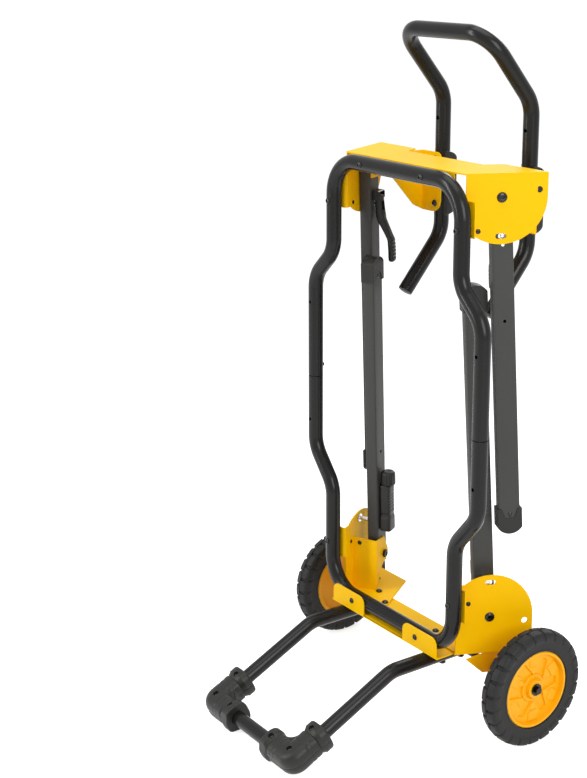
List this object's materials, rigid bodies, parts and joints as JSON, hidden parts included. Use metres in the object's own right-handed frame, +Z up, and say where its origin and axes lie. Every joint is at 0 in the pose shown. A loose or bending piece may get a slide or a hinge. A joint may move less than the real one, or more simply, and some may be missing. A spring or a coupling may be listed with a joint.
{
  "type": "folding table saw stand",
  "caption": "Rolling folding stand for a bench table saw, upright on its wheels and toe bar, legs folded along a bent tube loop.",
  "frame": {"origin": "on the floor under the middle of the stand's outline", "axes": "+Z up along the tube loop, +X to the stand's right, +Y to its back, where the handle is"},
  "size_m": [0.576, 0.5462, 1.1913],
  "materials": {
    "black_powder_coat": "satin black powder coat",
    "grey_powder_coat": "satin dark grey powder coat",
    "yellow_powder_coat": "smooth yellow powder coat",
    "yellow_plastic": "moulded yellow plastic",
    "black_plastic": "lightly textured black plastic",
    "tyre_rubber": "black rubber",
    "dark_fastener": "black oxide",
    "zinc_plate": "zinc plated steel"
  },
  "bodies": {
    "frame": {"frame_upper_loop": "black_powder_coat", "frame_lower_loop": "black_powder_coat", "top_bracket": "yellow_powder_coat", "bottom_cross_plate": "yellow_powder_coat", "bottom_bracket_left": "yellow_powder_coat", "bottom_bracket_right": "yellow_powder_coat", "toe_tube_left": "black_powder_coat", "toe_elbow_upper_left": "black_plastic", "toe_elbow_lower_left": "black_plastic", "axle_bracket_left": "yellow_powder_coat", "axle_clip_left": "dark_fastener", "handle_guide_left": "black_plastic", "handle_end_cap_left": "black_plastic", "upright_screw_top_left": "dark_fastener", "upright_screw_bottom_left": "dark_fastener", "top_bar_screw_left": "dark_fastener", "strip_screw_left": "dark_fastener", "pivot_bolt_upper_left": "dark_fastener", "pivot_bolt_lower_left": "dark_fastener", "toe_tube_right": "black_powder_coat", "toe_elbow_upper_right": "black_plastic", "toe_elbow_lower_right": "black_plastic", "axle_bracket_right": "yellow_powder_coat", "axle_clip_right": "dark_fastener", "handle_guide_right": "black_plastic", "handle_end_cap_right": "black_plastic", "upright_screw_top_right": "dark_fastener", "upright_screw_bottom_right": "dark_fastener", "top_bar_screw_right": "dark_fastener", "strip_screw_right": "dark_fastener", "pivot_bolt_upper_right": "dark_fastener", "pivot_bolt_lower_right": "dark_fastener", "toe_cross_tube": "black_powder_coat", "axle": "zinc_plate", "handle_tube": "black_powder_coat"},
    "leg_upper_left": {"leg_upper_left": "grey_powder_coat", "foot_cap_upper_left": "black_plastic", "lever_bracket_left": "grey_powder_coat"},
    "lock_pin_upper_left": {"lock_pin_upper_left": "zinc_plate"},
    "leg_lower_left": {"leg_lower_left": "grey_powder_coat", "foot_cap_lower_left": "black_plastic", "lock_housing_left": "black_plastic"},
    "lock_pin_lower_left": {"lock_pin_lower_left": "zinc_plate"},
    "release_lever_left": {"release_lever_left": "black_plastic"},
    "lock_knob_left": {"lock_knob_left": "black_plastic"},
    "wheel_left": {"wheel_hub_left": "yellow_plastic", "tyre_left": "tyre_rubber"},
    "leg_upper_right": {"leg_upper_right": "grey_powder_coat", "foot_cap_upper_right": "black_plastic", "lever_bracket_right": "grey_powder_coat"},
    "lock_pin_upper_right": {"lock_pin_upper_right": "zinc_plate"},
    "leg_lower_right": {"leg_lower_right": "grey_powder_coat", "foot_cap_lower_right": "black_plastic", "lock_housing_right": "black_plastic"},
    "lock_pin_lower_right": {"lock_pin_lower_right": "zinc_plate"},
    "release_lever_right": {"release_lever_right": "black_plastic"},
    "lock_knob_right": {"lock_knob_right": "black_plastic"},
    "wheel_right": {"wheel_hub_right": "yellow_plastic", "tyre_right": "tyre_rubber"}
  },
  "joints": [
    {"name": "fold_upper_left", "type": "hinge", "parent": "frame", "child": "leg_upper_left", "pos_m": [-0.18398, 0.11302, 0.9265], "axis": [0.9003, 0.4352, 0], "range_deg": [0, 96.7]},
    {"name": "fold_lower_left", "type": "hinge", "parent": "frame", "child": "leg_lower_left", "pos_m": [-0.18398, 0.11302, 0.203], "axis": [-0.9003, -0.4352, 0], "range_deg": [0, 103.3]},
    {"name": "spin_wheel_left", "type": "hinge", "parent": "frame", "child": "wheel_left", "pos_m": [-0.2675, 0.1345, 0.102], "axis": [1, 0, 0], "continuous": true},
    {"name": "pull_lever_left", "type": "hinge", "parent": "leg_upper_left", "child": "release_lever_left", "pos_m": [-0.15444, 0.13024, 0.88058], "axis": [0.4345, -0.8988, -0.0576], "range_deg": [0, 20]},
    {"name": "slide_pin_upper_left", "type": "slide", "parent": "leg_upper_left", "child": "lock_pin_upper_left", "axis": [0.9003, 0.4352, 0], "range_m": [0, 0.006]},
    {"name": "turn_knob_left", "type": "hinge", "parent": "leg_lower_left", "child": "lock_knob_left", "pos_m": [-0.12246, 0.13279, 0.35874], "axis": [0.0251, -0.0518, 0.9983], "range_deg": [0, 90]},
    {"name": "slide_pin_lower_left", "type": "slide", "parent": "leg_lower_left", "child": "lock_pin_lower_left", "axis": [0.9003, 0.4352, 0], "range_m": [0, 0.006]},
    {"name": "fold_upper_right", "type": "hinge", "parent": "frame", "child": "leg_upper_right", "pos_m": [0.18398, 0.11302, 0.9265], "axis": [0.9003, -0.4352, 0], "range_deg": [0, 96.7]},
    {"name": "fold_lower_right", "type": "hinge", "parent": "frame", "child": "leg_lower_right", "pos_m": [0.18398, 0.11302, 0.203], "axis": [-0.9003, 0.4352, 0], "range_deg": [0, 103.3]},
    {"name": "spin_wheel_right", "type": "hinge", "parent": "frame", "child": "wheel_right", "pos_m": [0.2675, 0.1345, 0.102], "axis": [1, 0, 0], "continuous": true},
    {"name": "pull_lever_right", "type": "hinge", "parent": "leg_upper_right", "child": "release_lever_right", "pos_m": [0.15444, 0.13024, 0.88058], "axis": [0.4345, 0.8988, 0.0576], "range_deg": [0, 20]},
    {"name": "slide_pin_upper_right", "type": "slide", "parent": "leg_upper_right", "child": "lock_pin_upper_right", "axis": [-0.9003, 0.4352, 0], "range_m": [0, 0.006]},
    {"name": "turn_knob_right", "type": "hinge", "parent": "leg_lower_right", "child": "lock_knob_right", "pos_m": [0.12246, 0.13279, 0.35874], "axis": [-0.0251, -0.0518, 0.9983], "range_deg": [0, 90]},
    {"name": "slide_pin_lower_right", "type": "slide", "parent": "leg_lower_right", "child": "lock_pin_lower_right", "axis": [-0.9003, 0.4352, 0], "range_m": [0, 0.006]}
  ],
  "couplings": [
    {"joint": "slide_pin_upper_left", "follows": "pull_lever_left", "m_per_rad": 0.016902},
    {"joint": "slide_pin_lower_left", "follows": "turn_knob_left", "m_per_rad": 0.003756},
    {"joint": "slide_pin_upper_right", "follows": "pull_lever_right", "m_per_rad": 0.016902},
    {"joint": "slide_pin_lower_right", "follows": "turn_knob_right", "m_per_rad": 0.003756}
  ]
}
